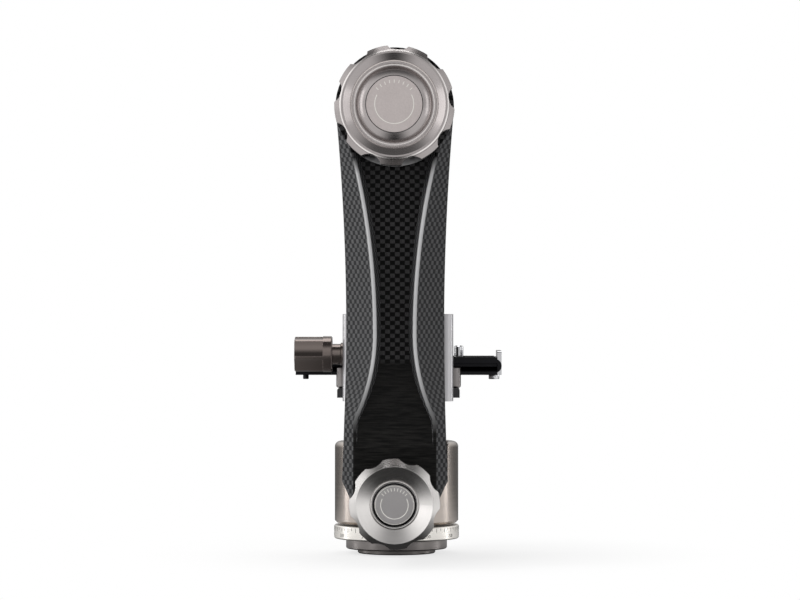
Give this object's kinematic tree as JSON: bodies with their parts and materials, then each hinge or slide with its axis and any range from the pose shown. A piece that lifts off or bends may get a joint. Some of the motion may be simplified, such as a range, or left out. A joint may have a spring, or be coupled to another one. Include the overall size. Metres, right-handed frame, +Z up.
{
  "type": "gimbal tripod head",
  "caption": "Side-mount gimbal head for long lenses: panning base, carbon J-arm, tilting dovetail rail, sliding lens clamp and plate, lobed lock knobs.",
  "frame": {"origin": "mouth of the tripod thread: the middle of the base's bottom face, on the pan axis", "axes": "+Z up along the pan axis, -Y towards the side with the arm and the two big lock knobs, +X along the lens plate towards its lip"},
  "size_m": [0.0998, 0.1584, 0.2404],
  "materials": {
    "gunmetal": "anodised warm gunmetal, satin turned",
    "titanium": "anodised titanium grey, satin turned",
    "black_anodised": "black anodised, fine bead blast",
    "bronze_anodised": "dark bronze anodised, satin",
    "bright_aluminium": "clear anodised, satin",
    "carbon": "woven carbon fibre under clear gloss resin",
    "steel": "ground steel",
    "dark_steel": "black oxide steel",
    "chrome": "polished plating",
    "brass": "turned brass",
    "rubber": "matt, fine ribs",
    "fibre": "pressed fibre",
    "level": "clear acrylic vial with green fluid"
  },
  "bodies": {
    "base": {"base_flange": "gunmetal", "thread_insert": "steel", "scale_ring": "titanium", "spindle_screws": "dark_steel", "pan_spindle": "bright_aluminium", "pan_bearing_inners": "steel", "brake_sleeve": "steel", "spindle_locknut": "bright_aluminium"},
    "pan_frame": {"pan_housing": "gunmetal", "pan_bearing_outers": "steel", "bearing_circlip": "dark_steel", "housing_cap": "black_anodised", "bubble_level": "level", "carbon_arm": "carbon", "arm_bolts": "dark_steel", "pan_lock_bush": "bright_aluminium", "tilt_hub_liner": "bright_aluminium", "tilt_bearing_outers": "steel"},
    "pan_brake": {"pan_brake_shoe": "brass"},
    "pan_lock": {"pan_lock_screw": "steel", "pan_knob": "titanium", "pan_knob_cap": "titanium"},
    "swing_arm": {"tilt_spindle": "bright_aluminium", "tilt_bearing_inners": "steel", "tilt_spacer": "bright_aluminium", "tilt_locknut": "bright_aluminium", "swing_rail": "black_anodised", "rail_bolts": "dark_steel", "rail_stop_screws": "steel"},
    "tilt_brake": {"tilt_brake_disc": "gunmetal", "friction_ring": "fibre"},
    "tilt_lock": {"tilt_knob": "gunmetal", "tilt_knob_cap": "gunmetal", "tilt_knob_bush": "steel"},
    "carriage": {"height_clamp_body": "bright_aluminium", "height_guide_pins": "steel", "platform": "black_anodised", "platform_bolts": "dark_steel", "lens_clamp_body": "gunmetal", "lens_guide_pins": "steel", "clamp_bolts": "dark_steel"},
    "height_jaw": {"height_clamp_jaw": "bright_aluminium", "height_knob_collar": "bronze_anodised"},
    "height_lock": {"height_clamp_screw": "steel", "height_knob": "bronze_anodised"},
    "lens_jaw": {"lens_clamp_jaw": "gunmetal"},
    "lens_lock": {"lens_clamp_screw": "steel", "lens_knob": "bronze_anodised"},
    "plate": {"lens_plate": "black_anodised", "plate_pads": "rubber", "plate_lip": "chrome", "lip_screws": "dark_steel", "stop_screws": "chrome", "anti_twist_pin": "chrome"},
    "quarter_slider": {"quarter_washer": "steel"},
    "quarter_stud": {"quarter_screw": "steel"},
    "three_eighths_slider": {"three_eighths_washer": "steel"},
    "three_eighths_stud": {"three_eighths_screw": "steel"}
  },
  "joints": [
    {"name": "pan_turn", "type": "hinge", "parent": "base", "child": "pan_frame", "pos_m": [0, 0, 0], "axis": [0, 0, 1], "continuous": true},
    {"name": "pan_brake_slide", "type": "slide", "parent": "pan_frame", "child": "pan_brake", "axis": [0, -1, 0], "range_m": [0, 0.00187]},
    {"name": "pan_knob_turn", "type": "hinge", "parent": "pan_brake", "child": "pan_lock", "pos_m": [0, -0.1, 0.0296], "axis": [0, -1, 0], "range_deg": [0, 540]},
    {"name": "tilt_turn", "type": "hinge", "parent": "pan_frame", "child": "swing_arm", "pos_m": [0, -0.08, 0.213], "axis": [0, 1, 0], "continuous": true},
    {"name": "tilt_brake_slide", "type": "slide", "parent": "swing_arm", "child": "tilt_brake", "axis": [0, -1, 0], "range_m": [0, 0.00187]},
    {"name": "tilt_knob_turn", "type": "hinge", "parent": "tilt_brake", "child": "tilt_lock", "pos_m": [0, -0.11, 0.213], "axis": [0, -1, 0], "range_deg": [0, 540]},
    {"name": "height_slide", "type": "slide", "parent": "swing_arm", "child": "carriage", "axis": [0, 0, 1], "range_m": [-0.0075, 0.1159]},
    {"name": "height_jaw_slide", "type": "slide", "parent": "carriage", "child": "height_jaw", "axis": [-1, 0, 0], "range_m": [0, 0.00187]},
    {"name": "height_knob_turn", "type": "hinge", "parent": "height_jaw", "child": "height_lock", "pos_m": [-0.03, -0.0415, 0.09785], "axis": [-1, 0, 0], "range_deg": [0, 540]},
    {"name": "lens_jaw_slide", "type": "slide", "parent": "carriage", "child": "lens_jaw", "axis": [0, 1, 0], "range_m": [0, 0.00187]},
    {"name": "lens_knob_turn", "type": "hinge", "parent": "lens_jaw", "child": "lens_lock", "pos_m": [0.0012, 0.03, 0.0844], "axis": [0, 1, 0], "range_deg": [0, 540]},
    {"name": "plate_slide", "type": "slide", "parent": "carriage", "child": "plate", "axis": [1, 0, 0], "range_m": [-0.0137, 0.0137]},
    {"name": "quarter_slide", "type": "slide", "parent": "plate", "child": "quarter_slider", "axis": [1, 0, 0], "range_m": [-0.0147, 0.0023]},
    {"name": "quarter_turn", "type": "hinge", "parent": "quarter_slider", "child": "quarter_stud", "pos_m": [-0.012, 0, 0.092], "axis": [0, 0, 1], "continuous": true},
    {"name": "three_eighths_slide", "type": "slide", "parent": "plate", "child": "three_eighths_slider", "axis": [1, 0, 0], "range_m": [-0.0023, 0.0092]},
    {"name": "three_eighths_turn", "type": "hinge", "parent": "three_eighths_slider", "child": "three_eighths_stud", "pos_m": [0.0065, 0, 0.092], "axis": [0, 0, 1], "continuous": true}
  ],
  "couplings": [
    {"joint": "pan_knob_turn", "follows": "pan_brake_slide", "rad_per_m": 5026.5},
    {"joint": "tilt_knob_turn", "follows": "tilt_brake_slide", "rad_per_m": 5026.5},
    {"joint": "height_knob_turn", "follows": "height_jaw_slide", "rad_per_m": 5026.5},
    {"joint": "lens_knob_turn", "follows": "lens_jaw_slide", "rad_per_m": 5026.5}
  ]
}
